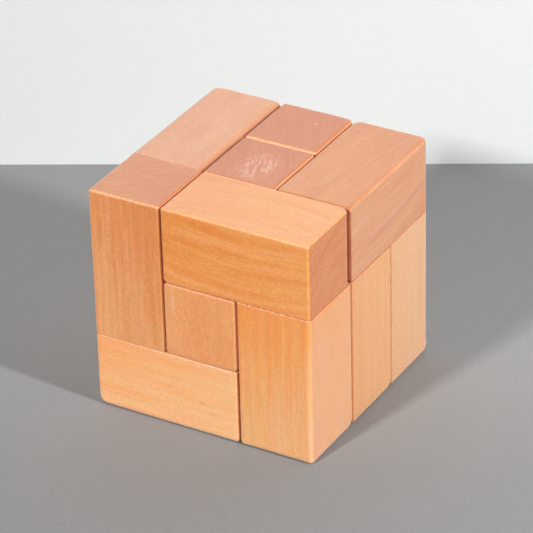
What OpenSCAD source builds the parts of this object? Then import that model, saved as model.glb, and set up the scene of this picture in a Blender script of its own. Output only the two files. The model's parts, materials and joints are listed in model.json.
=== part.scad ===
// Wooden assembly cube: fourteen hardwood blocks glued into four puzzle pieces.
// The pieces fit together as a cube three cells wide, three deep and three high.
// The origin is the centre of the underside, +Z is up and -Y is the front.

/* [Cube] */
// Side of one cell of the cube
cell = 20; // [15:1:25]
// Gap between two blocks that aren't glued to each other
fit_gap = 0.3; // [0.2:0.05:0.5]

/* [Edges] */
// Radius of an edge that was sanded round
broad_r = 2.4; // [1.5:0.1:3]
// Radius of an edge that was eased
soft_r = 1.1; // [0.8:0.1:1.4]
// Radius of an edge that is only worn
worn_r = 0.5; // [0.3:0.05:0.8]
// Radius of an edge beside a glue line
crisp_r = 0.2; // [0.1:0.05:0.3]

/* [Hidden] */
// Cells along each side of the cube
grid = 3;
// How far the cutting profiles run past a block
overrun = 1;
// Segments of a rounded corner
$fn = 48;

function has(list, name) = len([for (item = list) if (item == name) item]) > 0;

// A face stands on the grid plane where it is glued or is part of the cube's outside.
// Everywhere else it stands back by half the gap.
function setback(plane, glued) = (glued || plane == 0 || plane == grid) ? 0 : fit_gap / 2;

// A rectangle with a radius of its own at each corner:
// r lists low-low, high-low, high-high and low-high.
module round_rectangle(low, high, r) {
    centres = [
        [low.x + r[0], low.y + r[0]],
        [high.x - r[1], low.y + r[1]],
        [high.x - r[2], high.y - r[2]],
        [low.x + r[3], high.y - r[3]]
    ];
    polygon([
        [low.x, centres[0].y], [centres[0].x, low.y],
        [centres[1].x, low.y], [high.x, centres[1].y],
        [high.x, centres[2].y], [centres[2].x, high.y],
        [centres[3].x, high.y], [low.x, centres[3].y]
    ]);
    for (corner = [0:3])
        translate(centres[corner]) circle(r = r[corner]);
}

// One block. first is its lowest cell and cells is how many it fills along X, Y and Z.
// Faces are L left, R right, F front, B back, D down and U up.
// An edge is named by its two faces, and it is worn unless a list says otherwise.
module block(first, cells, glued = [], broad = [], soft = [], crisp = []) {
    function edge(name) =
        has(broad, name) ? broad_r :
        has(soft, name) ? soft_r :
        has(crisp, name) ? crisp_r : worn_r;

    last = first + cells;
    low = [
        first.x * cell + setback(first.x, has(glued, "L")),
        first.y * cell + setback(first.y, has(glued, "F")),
        first.z * cell + setback(first.z, has(glued, "D"))
    ];
    high = [
        last.x * cell - setback(last.x, has(glued, "R")),
        last.y * cell - setback(last.y, has(glued, "B")),
        last.z * cell - setback(last.z, has(glued, "U"))
    ];
    long = high - low + [2, 2, 2] * overrun;

    translate([-grid * cell / 2, -grid * cell / 2, 0])
        intersection() {
            // Rounds the four upright edges
            translate([0, 0, low.z - overrun])
                linear_extrude(long.z)
                    round_rectangle([low.x, low.y], [high.x, high.y],
                        [edge("LF"), edge("RF"), edge("RB"), edge("LB")]);
            // Rounds the four edges that run from front to back
            translate([0, high.y + overrun, 0])
                rotate([90, 0, 0])
                    linear_extrude(long.y)
                        round_rectangle([low.x, low.z], [high.x, high.z],
                            [edge("LD"), edge("RD"), edge("RU"), edge("LU")]);
            // Rounds the four edges that run from left to right
            translate([low.x - overrun, 0, 0])
                rotate([90, 0, 90])
                    linear_extrude(long.x)
                        round_rectangle([low.y, low.z], [high.y, high.z],
                            [edge("FD"), edge("BD"), edge("BU"), edge("FU")]);
        }
}

// Left piece: a foot along the front, a post on its left end and a rail to the back.

module left_foot_block()
    color([0.95, 0.72, 0.52])
        block([0, 0, 0], [2, 1, 1], glued = ["U"],
            broad = ["LD", "LB"],
            soft = ["LF", "FD", "BD", "RD"],
            crisp = ["FU", "LU"]);

module left_post_block()
    color([0.88, 0.61, 0.41])
        block([0, 0, 1], [1, 1, 2], glued = ["D", "B"],
            soft = ["LU", "LF", "LB"],
            crisp = ["FD", "LD", "BU"]);

module left_rail_block()
    color([0.94, 0.74, 0.59])
        block([0, 1, 2], [1, 2, 1], glued = ["F"],
            broad = ["LB", "RB", "RU"],
            soft = ["LU", "BU", "BD"],
            crisp = ["FU", "LF"]);

// Front piece: a rail on top, a post under its right end, a tongue behind it and a
// single cube glued to the front of the tongue.

module front_rail_block()
    color([0.93, 0.64, 0.40])
        block([1, 0, 2], [2, 1, 1], glued = ["D", "B"],
            broad = ["RB"],
            soft = ["LD", "LB"],
            crisp = ["BU", "FD", "BD"]);

module front_post_block()
    color([0.94, 0.68, 0.46])
        block([2, 0, 0], [1, 1, 2], glued = ["U"],
            broad = ["BD"],
            soft = ["LD", "RF", "FD", "RD"],
            crisp = ["FU", "RU", "LU", "BU"]);

module front_tongue_block()
    color([0.88, 0.64, 0.52])
        block([1, 1, 1], [1, 1, 2], glued = ["F"],
            soft = ["LB", "RB", "RU", "LD", "RD", "BD"],
            crisp = ["FU", "LF", "RF", "FD"]);

module front_cube_block()
    color([0.92, 0.65, 0.45])
        block([1, 0, 1], [1, 1, 1], glued = ["B"],
            soft = ["LD", "RD", "LU"],
            crisp = ["BU", "BD", "LB", "RB"]);

// Back piece: a rail on top, a post under its back end and a foot to the left.

module back_rail_block()
    color([0.92, 0.67, 0.52])
        block([2, 1, 2], [1, 2, 1], glued = ["D"],
            broad = ["LB", "RB"],
            soft = ["RU", "BU"],
            crisp = ["RD", "BD", "LD"]);

module back_post_block()
    color([0.93, 0.73, 0.58])
        block([2, 2, 0], [1, 1, 2], glued = ["U", "L"],
            broad = ["BD", "RB"],
            soft = ["RD"],
            crisp = ["RU", "BU", "LU", "LB", "LF"]);

module back_foot_block()
    color([0.92, 0.70, 0.52])
        block([0, 2, 0], [2, 1, 1], glued = ["R"],
            broad = ["LB", "LD"],
            soft = ["BD", "LF", "FD", "BU"],
            crisp = ["RB", "RU", "RF"]);

// Core piece: a post at the right, a foot beneath, an arm to the back and a riser.

module core_post_block()
    color([0.93, 0.70, 0.53])
        block([2, 1, 0], [1, 1, 2], glued = ["L"],
            broad = ["BD"],
            soft = ["RD", "FD"],
            crisp = ["LF", "LB"]);

module core_foot_block()
    color([0.91, 0.68, 0.50])
        block([0, 1, 0], [2, 1, 1], glued = ["U", "R"],
            broad = ["LD"],
            soft = ["LF", "LB", "FD", "BD"],
            crisp = ["LU", "RF", "RB", "RU"]);

module core_arm_block()
    color([0.90, 0.66, 0.48])
        block([0, 1, 1], [1, 2, 1], glued = ["D", "R"],
            broad = ["LB"],
            soft = ["LF", "LU", "BU", "BD"],
            crisp = ["LD", "RB", "RU", "RD", "FD"]);

module core_riser_block()
    color([0.87, 0.63, 0.51])
        block([1, 2, 1], [1, 1, 2], glued = ["L"],
            broad = ["RB"],
            soft = ["LB", "BU", "BD", "RU"],
            crisp = ["LF", "LD"]);

left_foot_block();
left_post_block();
left_rail_block();
front_rail_block();
front_post_block();
front_tongue_block();
front_cube_block();
back_rail_block();
back_post_block();
back_foot_block();
core_post_block();
core_foot_block();
core_arm_block();
core_riser_block();
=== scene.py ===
"""Looks of a wooden assembly cube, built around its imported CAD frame."""

import itertools
import json
import math

import bpy
import numpy as np
from mathutils import Euler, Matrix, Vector, noise
from mathutils.bvhtree import BVHTree


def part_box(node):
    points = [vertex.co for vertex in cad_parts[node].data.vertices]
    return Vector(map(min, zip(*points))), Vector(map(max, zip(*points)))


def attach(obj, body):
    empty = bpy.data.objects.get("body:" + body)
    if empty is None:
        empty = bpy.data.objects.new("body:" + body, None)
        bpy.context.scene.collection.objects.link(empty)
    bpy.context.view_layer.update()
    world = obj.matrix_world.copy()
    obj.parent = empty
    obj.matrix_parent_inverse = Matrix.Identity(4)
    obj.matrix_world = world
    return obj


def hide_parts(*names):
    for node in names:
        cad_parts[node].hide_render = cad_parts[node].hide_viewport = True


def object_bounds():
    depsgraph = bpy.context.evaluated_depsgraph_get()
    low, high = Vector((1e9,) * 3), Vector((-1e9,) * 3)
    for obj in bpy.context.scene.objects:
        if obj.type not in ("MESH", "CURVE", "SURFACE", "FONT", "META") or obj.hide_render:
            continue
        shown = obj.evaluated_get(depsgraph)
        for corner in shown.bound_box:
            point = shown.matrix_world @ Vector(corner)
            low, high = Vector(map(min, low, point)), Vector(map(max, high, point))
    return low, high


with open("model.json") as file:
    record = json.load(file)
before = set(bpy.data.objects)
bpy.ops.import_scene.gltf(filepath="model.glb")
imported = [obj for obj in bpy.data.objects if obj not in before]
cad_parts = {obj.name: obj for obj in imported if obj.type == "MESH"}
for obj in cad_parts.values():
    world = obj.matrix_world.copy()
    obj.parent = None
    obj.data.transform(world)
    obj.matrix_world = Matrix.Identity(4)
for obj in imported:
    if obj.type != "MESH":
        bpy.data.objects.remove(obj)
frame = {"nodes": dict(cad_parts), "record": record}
cad_low, cad_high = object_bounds()

MM = 0.001
AXES = {"x": 0, "y": 1, "z": 2}
# The axis of each named face, and whether it is on the high side
FACES = {"L": (0, 0), "R": (0, 1), "F": (1, 0), "B": (1, 1), "D": (2, 0), "U": (2, 1)}


# Camera

VIEW_AZIMUTH = 30.6
VIEW_ELEVATION = 30.5
VIEW_ROLL = -1.6
VIEW_DISTANCE = 0.8
LENS_MM = 222.3
AIM = Vector((0.001, 0.0, 0.0314))


def make_camera():
    """A long lens above and to the right of the front, aimed near the cube's centre."""
    azimuth, elevation = math.radians(VIEW_AZIMUTH), math.radians(VIEW_ELEVATION)
    back = Vector((
        math.sin(azimuth) * math.cos(elevation),
        -math.cos(azimuth) * math.cos(elevation),
        math.sin(elevation),
    ))
    data = bpy.data.cameras.new("camera")
    data.lens = LENS_MM
    camera = bpy.data.objects.new("camera", data)
    bpy.context.scene.collection.objects.link(camera)
    camera.location = AIM + back * VIEW_DISTANCE
    roll = Euler((0, 0, math.radians(VIEW_ROLL))).to_quaternion()
    camera.rotation_euler = ((-back).to_track_quat("-Z", "Y") @ roll).to_euler()
    bpy.context.scene.camera = camera


# Colours and node trees


def linear(red, green, blue):
    """A colour given as screen values from 0 to 255, as the linear colour the shaders take."""
    out = []
    for value in (red, green, blue):
        v = value / 255
        out.append(v / 12.92 if v <= 0.04045 else ((v + 0.055) / 1.055) ** 2.4)
    return (*out, 1.0)


class Tree:
    """Short calls for building a node tree."""

    def __init__(self, material):
        material.use_nodes = True
        self.nodes = material.node_tree.nodes
        self.links = material.node_tree.links
        self.shader = self.nodes["Principled BSDF"]

    def put(self, socket, value):
        if isinstance(value, bpy.types.NodeSocket):
            self.links.new(value, socket)
        else:
            socket.default_value = value

    def math(self, operation, *values, clamp=False):
        node = self.nodes.new("ShaderNodeMath")
        node.operation = operation
        node.use_clamp = clamp
        for socket, value in zip(node.inputs, values):
            self.put(socket, value)
        return node.outputs[0]

    def vector(self, operation, *values):
        node = self.nodes.new("ShaderNodeVectorMath")
        node.operation = operation
        for socket, value in zip(node.inputs, values):
            self.put(socket, value)
        return node.outputs["Value" if operation in ("LENGTH", "DOT_PRODUCT") else "Vector"]

    def split(self, vector):
        node = self.nodes.new("ShaderNodeSeparateXYZ")
        self.put(node.inputs[0], vector)
        return list(node.outputs)

    def join(self, x, y, z):
        node = self.nodes.new("ShaderNodeCombineXYZ")
        for socket, value in zip(node.inputs, (x, y, z)):
            self.put(socket, value)
        return node.outputs[0]

    def noise(self, vector, scale=1.0, detail=2.0, roughness=0.5):
        node = self.nodes.new("ShaderNodeTexNoise")
        self.put(node.inputs["Vector"], vector)
        node.inputs["Scale"].default_value = scale
        node.inputs["Detail"].default_value = detail
        node.inputs["Roughness"].default_value = roughness
        return node.outputs["Fac"]

    def spread(self, value, low, high, to_low=0.0, to_high=1.0):
        """value from low to high becomes to_low to to_high, smoothly, and stays within them."""
        node = self.nodes.new("ShaderNodeMapRange")
        node.interpolation_type = "SMOOTHSTEP"
        for socket, v in zip(node.inputs, (value, low, high, to_low, to_high)):
            self.put(socket, v)
        return node.outputs[0]

    def mix(self, factor, a, b, blend="MIX"):
        node = self.nodes.new("ShaderNodeMix")
        node.data_type = "RGBA"
        node.blend_type = blend
        self.put(node.inputs[0], factor)
        self.put(node.inputs[6], a)
        self.put(node.inputs[7], b)
        return node.outputs[2]

    def attribute(self, name):
        node = self.nodes.new("ShaderNodeAttribute")
        node.attribute_name = name
        return node.outputs["Fac"]


# Wood

# Pale wood for flecks and for rubbed edges, where it is partly real rubbing and partly painted
# highlight
PALE_WOOD_AND_HIGHLIGHT = linear(250, 216, 174)
PORE_WOOD = linear(186, 104, 62)
RING_WOOD = linear(222, 190, 170)
# Tint of the painted shade on edges in the grooves between blocks
GROOVE_SHADE_TINT = linear(230, 188, 134)
PINK_WOOD = linear(255, 250, 255)
GOLD_WOOD = linear(254, 254, 244)
GLUE = linear(226, 200, 176)
SCAR = linear(150, 84, 60)
KNOT = linear(228, 136, 80)
BAND = linear(188, 120, 92)
CHALK = linear(236, 200, 178)

# Strengths of the surface's gloss, soft sheen and fine relief
WOOD_SPECULAR = 0.6
WOOD_SHEEN = 0.45
SHEEN_ROUGHNESS = 0.5
BUMP_STRENGTH = 0.35
BUMP_DEPTH = 0.05 * MM
# How far apart the blocks' random patterns start, along the grain
SEED_STEP = 37.0
# How much of its bands a plain face loses to its painted sheen, and the strength of the painted
# groove shade
PLAIN_CALM = 0.65
GROOVE_SHADE_STRENGTH = 0.8
# A mark with a half size over this many mm follows the grain
LONG_MARK = 10

# Tones of the wood, as screen values: the pale and the dark colour of side grain

CREAM = (250, 195, 140), (250, 170, 100)
HONEY = (250, 180, 120), (240, 160, 90)
GOLD = (240, 180, 120), (240, 150, 65)
AMBER = (235, 165, 105), (220, 130, 55)
OCHRE = (240, 165, 90), (230, 135, 40)
BISCUIT = (240, 165, 105), (230, 145, 75)
TAN = (210, 150, 110), (200, 130, 80)
ROSE = (220, 175, 130), (220, 155, 105)
NUT = (225, 165, 110), (215, 145, 85)

# The tint that end grain adds, on ordinary, bleached, cool and dark ends

PLAIN_END = (220, 190, 180)
BLEACHED_END = (220, 210, 195)
COOL_END = (215, 195, 195)
DARK_END = (195, 155, 115)

# Red, green and blue factors of painted light on one face: a pale sheen and a darker shade

PAINTED_SHEEN_TINT = (0.85, 0.9, 1.2)
PAINTED_SHADE_TINT = (0.9, 0.7, 0.35)


class Look:
    """How one block was cut from the tree, and its colours.

    grain is the axis that the fibres follow. tone gives the two colours of side grain, and end is
    the tint that end grain adds. pith is where the tree's centre line passes, in mm across the
    grain from the block's middle, and gap is the width of a growth ring. rings and end_rings
    are how strongly the rings show on side and end grain. bands and streaks are how strongly the
    two sizes of colour band show, and band is the width of the larger. wave is how far the grain
    wanders, lean is its slope and bow is its curve, about bow_at along the grain. trend is how
    the colour turns darker along X, Y and Z, per mm; along Z it is mostly painted bounce light
    that leaves the lower parts paler. faces gives the factors of painted light on single faces,
    a pale sheen on some and a darker shade on others, and plain names faces that hardly show
    bands, as their painted sheen washes them out. worn gives the pale edges and how pale each
    is, partly real rubbing and partly painted highlight, glue names the edges with dried glue
    beside them, and marks are small flaws, each with its middle and half size in mm, measured
    from the block's middle, and its colour, strength and brokenness.
    """

    def __init__(self, grain, tone, pith, gap=2.0, end=PLAIN_END, rings=0.1,
                 end_rings=0.25, band=2.4, bands=0.7, streaks=0.4, wave=0.7, lean=(0.0, 0.0),
                 bow=(0.0, 0.0), bow_at=0.0, trend=(0.0, 0.0, 0.0), faces=None, plain=(),
                 worn_and_highlit=None, glue=(), marks=(), seed=0):
        self.grain = grain
        self.pale, self.dark = (linear(*colour) for colour in tone)
        self.end = linear(*end)
        self.pith = pith
        self.gap = gap
        self.rings = rings
        self.end_rings = end_rings
        self.band = band
        self.bands = bands
        self.streaks = streaks
        self.wave = wave
        self.lean = lean
        self.bow = bow
        self.bow_at = bow_at
        self.trend = trend
        self.faces = faces or {}
        self.plain = plain
        self.worn_and_highlit = worn_and_highlit or {}
        self.glue = glue
        self.marks = marks
        self.seed = seed


LOOKS = {
    "left_foot_block": Look(
        "x", CREAM, (8, -50), gap=2.4, band=2.2, bands=0.6, streaks=0.4,
        trend=(-0.015, 0, 0.035), glue=("FU",), seed=1,
        marks=(((0.8, -10, 0.8), (0.9, 1.5, 0.35), KNOT, 0.5, 0.3),
               ((9.9, -10, -1.5), (1.2, 1.5, 0.4), KNOT, 0.6, 0.3))),
    "left_post_block": Look(
        "z", AMBER, (42, -50), gap=1.6, end=BLEACHED_END, end_rings=0.1, band=1.5, bands=0.6,
        streaks=0.5, trend=(0.02, 0, 0.015), worn_and_highlit={"FU": 0.6, "LF": 0.15}, seed=2),
    "left_rail_block": Look(
        "y", TAN, (6, -55), gap=2.6, band=1.2, bands=0.4, streaks=0.3, seed=3),
    "front_rail_block": Look(
        "x", OCHRE, (20, -34), gap=1.5, end=COOL_END, rings=0.16, band=1.6, bands=0.9,
        streaks=0.5, bow=(0.004, 0.002), bow_at=3, trend=(-0.01, 0, 0.01),
        faces={"U": PAINTED_SHEEN_TINT}, plain=("U",), worn_and_highlit={"FU": 0.45}, seed=4,
        marks=(((-15.2, -7.2, 10), (0.12, 1.2, 1.0), SCAR, 0.5, 0.0),
               ((-14.0, -6.6, 10), (0.12, 1.5, 1.0), SCAR, 0.5, 0.0))),
    "front_post_block": Look(
        "z", GOLD, (-55, 8), gap=1.5, band=1.6, bands=0.6, streaks=0.45, trend=(0, 0, 0.03),
        faces={"R": PAINTED_SHEEN_TINT}, plain=("R",), worn_and_highlit={"RF": 0.4}, glue=("FU",), seed=5,
        marks=(((-6.5, -10, -6), (0.16, 1.0, 16), SCAR, 0.2, 0.3),
               ((-6.1, -10, -6), (0.16, 1.0, 16), CHALK, 0.3, 0.3))),
    "front_tongue_block": Look(
        "z", HONEY, (-30, -14), gap=1.3, end=DARK_END, end_rings=0.3, bands=0.5, wave=0.3,
        trend=(-0.02, 0.02, 0), seed=6,
        marks=(((0.7, -1.8, 20), (5.5, 7.5, 4.0), CHALK, 0.28, 0.9),)),
    "front_cube_block": Look(
        "z", BISCUIT, (-6, 26), bands=0.5, streaks=0.35, wave=1.0,
        worn_and_highlit={"FU": 0.3, "FD": 0.25, "LF": 0.3, "RF": 0.3}, seed=7,
        marks=(((-7.4, -10, 4.5), (0.6, 1.5, 3.5), CHALK, 0.35, 0.5),)),
    "back_rail_block": Look(
        "y", TAN, (-36, -36), gap=3.2, rings=0.15, band=1.5, bands=0.7, streaks=0.65,
        lean=(0.0, 0.12), trend=(0.01, 0.01, -0.01), faces={"U": PAINTED_SHADE_TINT}, seed=8,
        marks=(((10, 4, -2.9), (2.0, 20, 1.1), BAND, 0.6, 0.3),)),
    "back_post_block": Look(
        "z", ROSE, (8, 50), gap=1.7, band=1.6, bands=0.4, streaks=0.3, trend=(0, -0.02, 0),
        worn_and_highlit={"RF": 0.35}, seed=9,
        marks=(((10, 4.8, 0), (1.0, 0.2, 18), SCAR, 0.4, 0.1),)),
    "back_foot_block": Look("x", HONEY, (30, -40), gap=2.2, seed=10),
    "core_post_block": Look(
        "z", NUT, (5, -50), gap=1.8, band=1.8, bands=0.5, streaks=0.35, trend=(0, -0.02, 0),
        seed=11),
    "core_foot_block": Look("x", HONEY, (-18, 40), seed=12),
    "core_arm_block": Look("y", HONEY, (-30, 36), gap=2.3, seed=13),
    "core_riser_block": Look(
        "z", HONEY, (-34, -20), gap=2.2, end=DARK_END, end_rings=0.18, bands=0.5, wave=0.4,
        worn_and_highlit={"FU": 0.55}, seed=14,
        marks=(((2.5, 3.0, 20), (0.5, 0.5, 1.0), CHALK, 0.5, 0.3),)),
}


class Grain:
    """Where each point of a block lies in its wood, in mm: along the fibres, out from and round
    the tree's centre line, and within a growth ring."""

    def __init__(self, tree, look, centre):
        self.tree = tree
        self.look = look
        self.along = AXES[look.grain]
        self.offset = look.seed * SEED_STEP
        source = tree.nodes.new("ShaderNodeTexCoord")
        place = tree.vector("SUBTRACT", source.outputs["Object"], tuple(centre))
        self.place = tree.vector("MULTIPLY", place, (1 / MM,) * 3)
        self.normal = tree.split(source.outputs["Normal"])
        self.end = tree.spread(tree.math("ABSOLUTE", self.normal[self.along]), 0.7, 0.95)
        self.follow_grain()
        self.count_rings()

    def wander(self, length, width, amount):
        """Slow noise along the grain, from -amount to amount in mm."""
        tree = self.tree
        value = tree.noise(tree.join(
            tree.math("MULTIPLY_ADD", self.u, 1 / length, self.offset),
            tree.math("MULTIPLY", self.v, 1 / width),
            tree.math("MULTIPLY", self.w, 1 / width),
        ), detail=2)
        return tree.math("MULTIPLY_ADD", value, 2 * amount, -amount)

    def follow_grain(self):
        """Makes the grain lean, bow and wander. Everything else follows it."""
        tree, look = self.tree, self.look
        first, second = [axis for axis in range(3) if axis != self.along]
        axes = tree.split(self.place)
        self.u, self.v, self.w = axes[self.along], axes[first], axes[second]
        slow = self.wander(24, 14, 1.6 * look.wave)
        drift = tree.math("ADD", slow, self.wander(9, 3.5, 0.5 * look.wave))
        bent = tree.math("POWER", tree.math("SUBTRACT", self.u, look.bow_at), 2.0)
        v = tree.math("MULTIPLY_ADD", self.u, look.lean[0], tree.math("ADD", self.v, drift))
        w = tree.math("MULTIPLY_ADD", drift, 0.8, self.w)
        w = tree.math("MULTIPLY_ADD", self.u, -look.lean[1], w)
        v = tree.math("MULTIPLY_ADD", bent, look.bow[0], v)
        w = tree.math("MULTIPLY_ADD", bent, -look.bow[1], w)
        grain_axes = [None, None, None]
        grain_axes[self.along], grain_axes[first], grain_axes[second] = self.u, v, w
        self.grain_place = tree.join(*grain_axes)
        self.v_ring = tree.math("SUBTRACT", v, look.pith[0])
        self.w_ring = tree.math("SUBTRACT", w, look.pith[1])

    def count_rings(self):
        """Growth rings, pale to dark outwards with a sudden end, some stronger than others."""
        tree, look = self.tree, self.look
        self.radius = tree.vector("LENGTH", tree.join(self.v_ring, self.w_ring, 0.0))
        angle = tree.math("ARCTAN2", self.w_ring, self.v_ring)
        self.arc = tree.math("MULTIPLY", angle, math.hypot(*look.pith))
        slow = tree.math("MULTIPLY", self.radius, 0.3)
        uneven = tree.noise(tree.join(slow, self.offset, 0.0), detail=1)
        even = tree.math("MULTIPLY", self.radius, 1 / look.gap)
        turns = tree.math("MULTIPLY_ADD", uneven, 2.4, even)
        phase = tree.math("FRACT", turns)
        rise = tree.spread(phase, 0.45, 0.92)
        fall = tree.spread(phase, 0.93, 1.0, 1.0, 0.0)
        number = tree.join(tree.math("FLOOR", turns), self.offset, 3.0)
        strength = tree.spread(tree.noise(number, scale=1.7), 0.3, 0.7, 0.2, 1.0)
        self.ring = tree.math("MULTIPLY", tree.math("MULTIPLY", rise, fall), strength)

    def noise(self, length, width, arcs=1.0, detail=2, roughness=0.5, shift=0.0):
        """Noise stretched along the grain. Its lumps are length mm long, width mm deep across
        the rings and width * arcs mm wide round them."""
        tree = self.tree
        return tree.noise(tree.join(
            tree.math("MULTIPLY_ADD", self.u, 1 / length, self.offset + shift),
            tree.math("MULTIPLY", self.radius, 1 / width),
            tree.math("MULTIPLY", self.arc, 1 / (width * arcs)),
        ), detail=detail, roughness=roughness)

    def facing(self, face):
        """1 on the named face of the block, falling to 0 round its edges."""
        axis, side = FACES[face]
        toward = self.tree.math("MULTIPLY", self.normal[axis], 1.0 if side else -1.0)
        return self.tree.spread(toward, 0.6, 0.9)


def banded_colour(tree, grain, look):
    """Side grain, which swings between pale and dark in two sizes of band and drifts with trend."""
    broad = grain.noise(26, look.band, 3.5, detail=3, roughness=0.55)
    narrow = grain.noise(14, 0.6, 2.5, detail=3, roughness=0.62, shift=9.0)
    blush = tree.spread(grain.noise(18, 2.6, 2.0, shift=61.0), 0.35, 0.65)
    swing = tree.math("MULTIPLY_ADD", broad, 3.0 * look.bands, 0.5 - 1.5 * look.bands)
    swing = tree.math("SUBTRACT", swing, 1.2 * look.streaks)
    swing = tree.math("MULTIPLY_ADD", narrow, 2.4 * look.streaks, swing)
    # Drift along X, Y and Z; along Z it is mostly painted bounce light, paler lower down
    swing = tree.math("ADD", swing, tree.vector("DOT_PRODUCT", grain.place, look.trend))
    # Plain faces lose bands, as the painted sheen on them washes the bands out
    for face in look.plain:
        calm = tree.math("MULTIPLY", grain.facing(face), PLAIN_CALM)
        swing = tree.math("MULTIPLY_ADD", calm, tree.math("SUBTRACT", 0.5, swing), swing)
    colour = tree.mix(tree.spread(swing, -0.35, 1.35), look.pale, look.dark)
    return tree.mix(1.0, colour, tree.mix(blush, PINK_WOOD, GOLD_WOOD), "MULTIPLY")


def ringed_colour(tree, grain, look, colour, pore):
    """Adds the growth rings, which show more on end grain, the dark pores and the pale flecks."""
    side_ring = tree.math("MULTIPLY", grain.ring, look.rings)
    end_ring = tree.math("MULTIPLY", grain.ring, look.end_rings)
    step = tree.math("SUBTRACT", end_ring, side_ring)
    depth = tree.math("MULTIPLY_ADD", grain.end, step, side_ring)
    colour = tree.mix(depth, colour, tree.mix(1.0, look.dark, RING_WOOD, "MULTIPLY"))
    colour = tree.mix(tree.math("MULTIPLY", pore, 0.2), colour, PORE_WOOD)
    fleck = tree.spread(grain.noise(0.9, 0.3, detail=1, shift=33.0), 0.63, 0.75)
    return tree.mix(tree.math("MULTIPLY", fleck, 0.25), colour, PALE_WOOD_AND_HIGHLIGHT)


def toned_colour(tree, grain, look, colour, fibre):
    """Adds the pale and dark of fibres, rays and speckle, then end tints and painted light on
    faces.
    """
    rays = grain.noise(4.0, 1.4, 0.2, roughness=0.6, shift=5.0)
    speckle = tree.noise(grain.place, scale=1 / 0.34, detail=1)
    tone = tree.math("MULTIPLY_ADD", fibre, 0.22, 0.89)
    grainy = tree.math("MULTIPLY_ADD", rays, 0.5, 0.75)
    tone = tree.math("MULTIPLY_ADD", grain.end, tree.math("SUBTRACT", grainy, tone), tone)
    tone = tree.math("MULTIPLY", tone, tree.math("MULTIPLY_ADD", speckle, 0.40, 0.80))
    tone_blue = tree.math("MULTIPLY", tone, tree.math("MULTIPLY_ADD", speckle, 0.36, 0.82))
    colour = tree.mix(1.0, colour, tree.join(tone, tone, tone_blue), "MULTIPLY")
    colour = tree.mix(grain.end, colour, tree.mix(1.0, colour, look.end, "MULTIPLY"))
    # Painted light on single faces: a pale sheen on some, a darker shade on others
    for face, tint in look.faces.items():
        tinted = tree.mix(1.0, colour, (*tint, 1.0), "MULTIPLY")
        colour = tree.mix(grain.facing(face), colour, tinted)
    return colour


def marked_colour(tree, grain, look, colour):
    """Adds the block's small flaws. The long ones follow the grain."""
    broken = tree.spread(grain.noise(6.0, 0.8, 2.6, shift=77.0), 0.44, 0.60)
    for middle, half, tint, amount, brokenness in look.marks:
        place = grain.grain_place if max(half) > LONG_MARK else grain.place
        away = tree.vector("DIVIDE", tree.vector("SUBTRACT", place, middle), half)
        near = tree.spread(tree.vector("LENGTH", away), 0.5, 1.1, 1.0, 0.0)
        mark = tree.math("MULTIPLY", near, amount)
        whole = tree.math("MULTIPLY_ADD", broken, brokenness, 1 - brokenness)
        colour = tree.mix(tree.math("MULTIPLY", mark, whole), colour, tint)
    return colour


def edge_colour_and_painted_light(tree, grain, colour):
    """Paints shade on edges in the grooves, pale rubbing and highlight on others, and glue by some
    seams.
    """
    # Painted shade: edges in the grooves between blocks are darkened where shade falls
    groove = tree.math("MULTIPLY", tree.attribute("groove"), GROOVE_SHADE_STRENGTH)
    colour = tree.mix(groove, colour, tree.mix(1.0, colour, GROOVE_SHADE_TINT, "MULTIPLY"))
    # Rubbed edges turn pale: partly real rubbing, partly a painted highlight where rounded edges
    # catch the light
    patchy = tree.noise(grain.place, scale=1 / 0.9, detail=3, roughness=0.6)
    rub_and_highlight = tree.math("MULTIPLY", tree.attribute("wear_and_highlight"), tree.spread(patchy, 0.3, 0.7, 0.35, 1.0))
    colour = tree.mix(rub_and_highlight, colour, PALE_WOOD_AND_HIGHLIGHT)
    crumbs = tree.noise(grain.place, scale=1 / 0.5, detail=2)
    crumbs = tree.spread(crumbs, 0.47, 0.62, 0.0, 0.85)
    return tree.mix(tree.math("MULTIPLY", tree.attribute("glue"), crumbs), colour, GLUE)


def wood_material(name, look, centre):
    """Solid wood with rings round an axis beside the block, bands, fibres, rubbed edges, painted
    highlight and shade.
    """
    material = bpy.data.materials.new(name + "_wood")
    tree = Tree(material)
    grain = Grain(tree, look, centre)
    fibre = grain.noise(2.2, 0.28, roughness=0.65, shift=21.0)
    pore = tree.spread(grain.noise(1.6, 0.26, detail=1, shift=47.0), 0.60, 0.76)

    colour = banded_colour(tree, grain, look)
    colour = ringed_colour(tree, grain, look, colour, pore)
    colour = toned_colour(tree, grain, look, colour, fibre)
    colour = marked_colour(tree, grain, look, colour)
    tree.put(tree.shader.inputs["Base Color"], edge_colour_and_painted_light(tree, grain, colour))
    tree.put(tree.shader.inputs["Roughness"], tree.math("MULTIPLY_ADD", fibre, 0.2, 0.36))
    tree.shader.inputs["Specular IOR Level"].default_value = WOOD_SPECULAR
    tree.shader.inputs["Sheen Weight"].default_value = WOOD_SHEEN
    tree.shader.inputs["Sheen Roughness"].default_value = SHEEN_ROUGHNESS

    bump = tree.nodes.new("ShaderNodeBump")
    bump.inputs["Strength"].default_value = BUMP_STRENGTH
    bump.inputs["Distance"].default_value = BUMP_DEPTH
    height = tree.math("SUBTRACT", fibre, tree.math("MULTIPLY", pore, 0.6))
    tree.put(bump.inputs["Height"], height)
    tree.put(tree.shader.inputs["Normal"], bump.outputs[0])
    return material


# Block shapes

# Rays start this far inside a block, one each FACE_STEP, and fan out round its edges in degrees
CORE_INSET = 3.6 * MM
FACE_STEP = 0.6 * MM
FAN = [12, 21, 28, 33, 36.5, 39.5, 42.2, 43.8, 45]
SOLVE_STEPS = 24
# A face farther than this from the outside of the cube faces inwards
EDGE_SLACK = 1.0 * MM
# How far round an edge a groove's painted shade begins, from 0 on the face to 1 on the edge
GROOVE_START = 0.45
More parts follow.
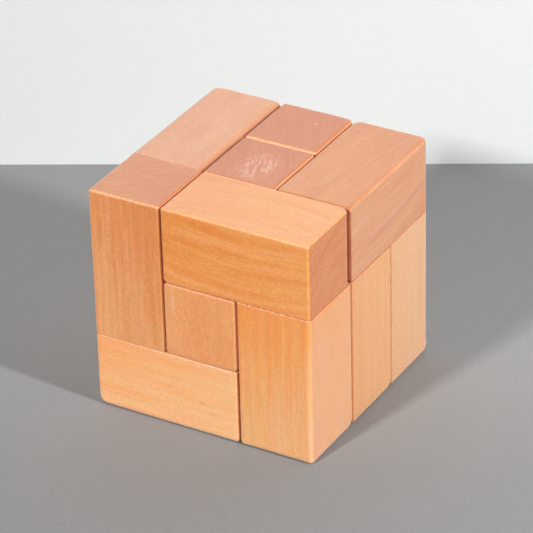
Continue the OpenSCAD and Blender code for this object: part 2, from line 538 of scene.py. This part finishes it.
# Depths in mm of sanding at the edges, of unevenness in the faces and of chips in the pale edges
RUB_DEPTH = 0.08
WAVY_DEPTH = 0.035
CHIP_DEPTH = 0.2
# Half widths in mm of pale rubbed edges, partly painted highlight, and of glue beside a seam
WORN_AND_HIGHLIT_WIDTH = 0.45
GLUE_WIDTH = 0.3


def axis_lattice(low, high):
    """Along one axis of a block: where each ray starts, and the tangent of how it fans out."""
    first, last = low + CORE_INSET, high - CORE_INSET
    steps = max(1, round((last - first) / FACE_STEP))
    middle = list(np.linspace(first, last, steps + 1))
    starts = [first] * len(FAN) + middle + [last] * len(FAN)
    fans = [math.tan(math.radians(a)) for a in FAN]
    tangents = [-t for t in reversed(fans)] + [0.0] * (steps + 1) + fans
    return starts, tangents


def surface_lattice(counts):
    """Index of every lattice point on a box's skin, and the quads between them."""
    index = {}
    for point in itertools.product(*(range(n) for n in counts)):
        if any(c in (0, n - 1) for c, n in zip(point, counts)):
            index[point] = len(index)
    quads = []
    for axis in range(3):
        a, b = [(1, 2), (2, 0), (0, 1)][axis]
        for side in (0, counts[axis] - 1):
            for i, j in itertools.product(range(counts[a] - 1), range(counts[b] - 1)):
                corners = []
                for di, dj in ((0, 0), (1, 0), (1, 1), (0, 1)):
                    point = [0, 0, 0]
                    point[axis], point[a], point[b] = side, i + di, j + dj
                    corners.append(index[tuple(point)])
                quads.append(corners if side else corners[::-1])
    return index, quads


def edge_radii(node, low, high):
    """Radius of each of a CAD block's twelve edges: radii[axis along the edge, side, side]."""
    skin = BVHTree.FromObject(node, bpy.context.evaluated_depsgraph_get())
    radii = np.zeros((3, 2, 2))
    for axis in range(3):
        a, b = [other for other in range(3) if other != axis]
        for side_a, side_b in itertools.product((0, 1), repeat=2):
            corner = (low + high) / 2
            inward = Vector((0, 0, 0))
            for other, side in ((a, side_a), (b, side_b)):
                corner[other] = high[other] if side else low[other]
                inward[other] = -1 if side else 1
            hit = skin.ray_cast(corner + inward * CORE_INSET, -inward)[0]
            radii[axis, side_a, side_b] = (hit - corner).length / (math.sqrt(2) - 1)
    return radii


def corner_edges(radii):
    """For each corner: the axis of its roundest edge, and the radii of its edges along X, Y, Z."""
    roundest, meeting = np.zeros((2, 2, 2), int), np.zeros((2, 2, 2, 3))
    for x, y, z in itertools.product((0, 1), repeat=3):
        meeting[x, y, z] = radii[0, y, z], radii[1, x, z], radii[2, x, y]
        roundest[x, y, z] = np.argmax(meeting[x, y, z])
    return roundest, meeting


def rounded_skin(starts, ways, low, high, radii):
    """Where rays from inside a block meet its skin, and how far round its edges each point lies.

    The roundest edge at a corner is rounded first. The other two then follow its curve, as a
    router bit does round a corner, and their radius changes over from one to the other there.
    """
    roundest, meeting = corner_edges(radii)
    low, high = np.array(low), np.array(high)
    rows = np.arange(len(starts))

    def rounding(points):
        near = np.minimum(points - low, high - points)
        side = (high - points < points - low).astype(int)
        axis = roundest[side[:, 0], side[:, 1], side[:, 2]]
        edges = meeting[side[:, 0], side[:, 1], side[:, 2]]
        first, second = np.array([(1, 2), (0, 2), (0, 1)])[axis].T
        large = edges[rows, axis]
        gap_a, gap_b, gap_c = near[rows, first], near[rows, second], near[rows, axis]
        bend = np.hypot(np.maximum(large - gap_a, 0), np.maximum(large - gap_b, 0))
        wall = np.where(bend > 0, large - bend, np.minimum(gap_a, gap_b))
        share = np.clip(0.5 + (gap_a - gap_b) / (2 * large), 0, 1)
        small = edges[rows, second] * (1 - share) + edges[rows, first] * share
        over = np.hypot(np.maximum(small - wall, 0), np.maximum(small - gap_c, 0))
        turn_small = np.minimum(small - wall, small - gap_c) / small
        turn_large = np.minimum(large - gap_a, large - gap_b) / large
        return over - small, np.maximum(turn_small, turn_large)

    shortest, longest = np.zeros(len(starts)), np.full(len(starts), 2 * CORE_INSET)
    for _ in range(SOLVE_STEPS):
        middle = (shortest + longest) / 2
        outside = rounding(starts + ways * middle[:, None])[0] > 0
        longest = np.where(outside, middle, longest)
        shortest = np.where(outside, shortest, middle)
    points = starts + ways * shortest[:, None]
    return points, np.clip(rounding(points)[1] / 0.7, 0, 1)


def edge_distance(points, low, high, edge):
    """How far points on the skin are from an edge named by its two faces, in mm."""
    gaps = []
    for face in edge:
        axis, side = FACES[face]
        gaps.append(high[axis] - points[:, axis] if side else points[:, axis] - low[axis])
    return np.max(gaps, axis=0) / MM


def inner_edge(points, low, high):
    """1 where either of the two faces nearest to a point faces into the cube, otherwise 0."""
    inner = [low[axis] - cad_low[axis] > EDGE_SLACK for axis in range(3)]
    inner += [cad_high[axis] - high[axis] > EDGE_SLACK for axis in range(3)]
    gaps = np.hstack([points - np.array(low), np.array(high) - points])
    nearest = np.argsort(gaps, axis=1)[:, :2]
    return np.any(np.array(inner)[nearest], axis=1).astype(float)


def noise_at(points, size, offset=0.0):
    """Smooth noise from -1 to 1 at each point; size is the width of its lumps in mm."""
    scaled = points / (MM * size) + (offset, 0, 0)
    return np.array([noise.noise(place) for place in scaled])


def wood_block(name, look):
    """A block rounded as its CAD node is, with slightly uneven faces and rubbed edges."""
    low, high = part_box(name)
    radii = edge_radii(frame["nodes"][name], low, high)
    lattice = [axis_lattice(low[axis], high[axis]) for axis in range(3)]
    index, quads = surface_lattice([len(starts) for starts, _ in lattice])

    at = np.array(list(index))
    starts = np.stack([np.array(lattice[axis][0])[at[:, axis]] for axis in range(3)], axis=1)
    ways = np.stack([np.array(lattice[axis][1])[at[:, axis]] for axis in range(3)], axis=1)
    for axis in range(3):
        ends = (at[:, axis] == 0) | (at[:, axis] == len(lattice[axis][0]) - 1)
        ways[ends, axis] = np.sign(ways[ends, axis])
    ways /= np.linalg.norm(ways, axis=1)[:, None]
    points, turned = rounded_skin(starts, ways, low, high, radii)

    wavy = 0.5 + 0.5 * noise_at(points, 9.0, look.seed * 1.7)
    rubbed = turned * np.maximum(0, 0.3 + noise_at(points, 3.5, look.seed * 3.1))
    worn_and_highlit, glue = np.zeros(len(points)), np.zeros(len(points))
    # Pale edges: partly real rubbing, partly painted highlight; the chips below are real
    for edge, amount in look.worn_and_highlit.items():
        near = edge_distance(points, low, high, edge)
        worn_and_highlit = np.maximum(worn_and_highlit, amount * np.exp(-(near / WORN_AND_HIGHLIT_WIDTH) ** 2))
    for edge in look.glue:
        near = edge_distance(points, low, high, edge)
        glue = np.maximum(glue, np.exp(-(near / GLUE_WIDTH) ** 2))
    chip = worn_and_highlit * np.maximum(0, noise_at(points, 0.9) - 0.1)
    # Painted shade in the grooves, only on edges that face into the cube
    groove = np.clip((turned - GROOVE_START) / (1 - GROOVE_START), 0, 1)
    groove = groove * inner_edge(points, low, high)
    sunk = RUB_DEPTH * rubbed + WAVY_DEPTH * wavy + CHIP_DEPTH * chip
    points = points - ways * (sunk * MM)[:, None]

    mesh = bpy.data.meshes.new(name + "_wood")
    mesh.from_pydata(points.tolist(), [], quads)
    mesh.polygons.foreach_set("use_smooth", [True] * len(quads))
    for attribute, values in (("wear_and_highlight", worn_and_highlit), ("groove", groove), ("glue", glue)):
        mesh.attributes.new(attribute, "FLOAT", "POINT").data.foreach_set("value", values)
    mesh.update()
    piece = bpy.data.objects.new(name + "_wood", mesh)
    bpy.context.scene.collection.objects.link(piece)
    mesh.materials.append(wood_material(name, look, (low + high) / 2))
    return piece


# Stage and light

STAGE_WIDTH = 4.0
FLOOR_GREY = (135, 135, 135)
WALL_GREY = (210, 214, 214)
# Degrees that the wall's foot and the floor's painted shade are turned about the upright
WALL_TURN = 27.5
FLOOR_TURN = 30
WALL_GAP = 0.1085
# Two distances behind the cube's middle, and the floor's painted shade in front of and beyond them
FLOOR_PAINTED_SHADE = (-0.085, 0.025, 0.95, 1.15)
# Place, size in metres, power in watts and colour
RIGHT_LAMP = ((0.67, -0.09, 0.36), 0.055, 5.7, (0.99, 1.0, 1.02))
LEFT_LAMP = ((-0.5, -2.45, 1.6), 0.24, 73.0, (1.0, 0.98, 0.96))
# Strength of the surround at the horizon and from this height upwards
HORIZON_LIGHT = 0.11
ZENITH_LIGHT = 0.0
ZENITH_HEIGHT = 0.8


def stage_plane(name, grey, roughness, grain):
    """A wide flat plane of one pale grey with a fine grain, to be moved into place."""
    bpy.ops.mesh.primitive_plane_add(size=STAGE_WIDTH)
    plane = bpy.context.object
    plane.name = name
    material = bpy.data.materials.new(name)
    tree = Tree(material)
    coordinates = tree.nodes.new("ShaderNodeTexCoord").outputs["Object"]
    speckle = tree.noise(coordinates, scale=900, detail=2)
    speckle = tree.spread(speckle, 0.3, 0.7, 1 - grain, 1 + grain)
    colour = tree.mix(1.0, linear(*grey), tree.join(speckle, speckle, speckle), "MULTIPLY")
    tree.put(tree.shader.inputs["Base Color"], colour)
    tree.shader.inputs["Roughness"].default_value = roughness
    tree.shader.inputs["Specular IOR Level"].default_value = 0.25
    plane.data.materials.append(material)
    return plane, tree


def make_floor():
    """A plain grey floor under the cube, with painted shade that makes it darker towards the front.
    """
    floor, tree = stage_plane("floor", FLOOR_GREY, 0.6, 0.03)
    floor.location.z = cad_low.z
    place = tree.nodes.new("ShaderNodeTexCoord").outputs["Object"]
    turn = math.radians(FLOOR_TURN)
    depth = tree.vector("DOT_PRODUCT", place, (-math.sin(turn), math.cos(turn), 0))
    # Painted shade: the floor is painted darker towards the front
    shade = tree.spread(depth, *FLOOR_PAINTED_SHADE)
    plain = tree.shader.inputs["Base Color"].links[0].from_socket
    shaded = tree.mix(1.0, plain, tree.join(shade, shade, shade), "MULTIPLY")
    tree.put(tree.shader.inputs["Base Color"], shaded)


def make_wall():
    """A white wall close behind the cube, which is clear when it is seen from its back."""
    wall, tree = stage_plane("wall", WALL_GREY, 0.8, 0.01)
    turn = math.radians(WALL_TURN)
    wall.rotation_euler = (math.radians(90), 0, turn)
    behind = Vector((-math.sin(turn), math.cos(turn), 0)) * WALL_GAP
    wall.location = behind + Vector((0, 0, STAGE_WIDTH / 2 + cad_low.z))
    clear = tree.nodes.new("ShaderNodeBsdfTransparent")
    choose = tree.nodes.new("ShaderNodeMixShader")
    tree.put(choose.inputs[0], tree.nodes.new("ShaderNodeNewGeometry").outputs["Backfacing"])
    tree.put(choose.inputs[1], tree.shader.outputs[0])
    tree.put(choose.inputs[2], clear.outputs[0])
    tree.put(tree.nodes["Material Output"].inputs["Surface"], choose.outputs[0])


def soft_light(name, place, size, power, colour):
    """A square light at a place, aimed at the cube's middle."""
    data = bpy.data.lights.new(name, "AREA")
    data.energy = power
    data.size = size
    data.color = colour
    light = bpy.data.objects.new(name, data)
    bpy.context.scene.collection.objects.link(light)
    middle = (cad_low + cad_high) / 2
    light.location = place
    light.rotation_euler = (middle - Vector(place)).to_track_quat("-Z", "Y").to_euler()


def make_light():
    """Two lamps, one to each side of the camera, and a dim surround that is darker above."""
    soft_light("right_lamp", *RIGHT_LAMP)
    soft_light("left_lamp", *LEFT_LAMP)
    world = bpy.data.worlds.new("surround")
    world.use_nodes = True
    nodes, links = world.node_tree.nodes, world.node_tree.links
    height = nodes.new("ShaderNodeSeparateXYZ")
    links.new(nodes.new("ShaderNodeTexCoord").outputs["Generated"], height.inputs[0])
    fade = nodes.new("ShaderNodeMapRange")
    for name, value in (("From Max", ZENITH_HEIGHT), ("To Min", HORIZON_LIGHT),
                        ("To Max", ZENITH_LIGHT)):
        fade.inputs[name].default_value = value
    links.new(height.outputs["Z"], fade.inputs[0])
    links.new(fade.outputs[0], nodes["Background"].inputs["Strength"])
    nodes["Background"].inputs["Color"].default_value = (1.0, 1.0, 1.0, 1.0)
    bpy.context.scene.world = world


make_camera()
make_floor()
make_wall()
make_light()
bpy.context.scene.view_settings.view_transform = "Standard"

bodies = frame["record"]["behaviour"]["bodies"]
for body, members in bodies.items():
    for member in members:
        block = wood_block(member, LOOKS[member])
        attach(block, body)
        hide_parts(member)
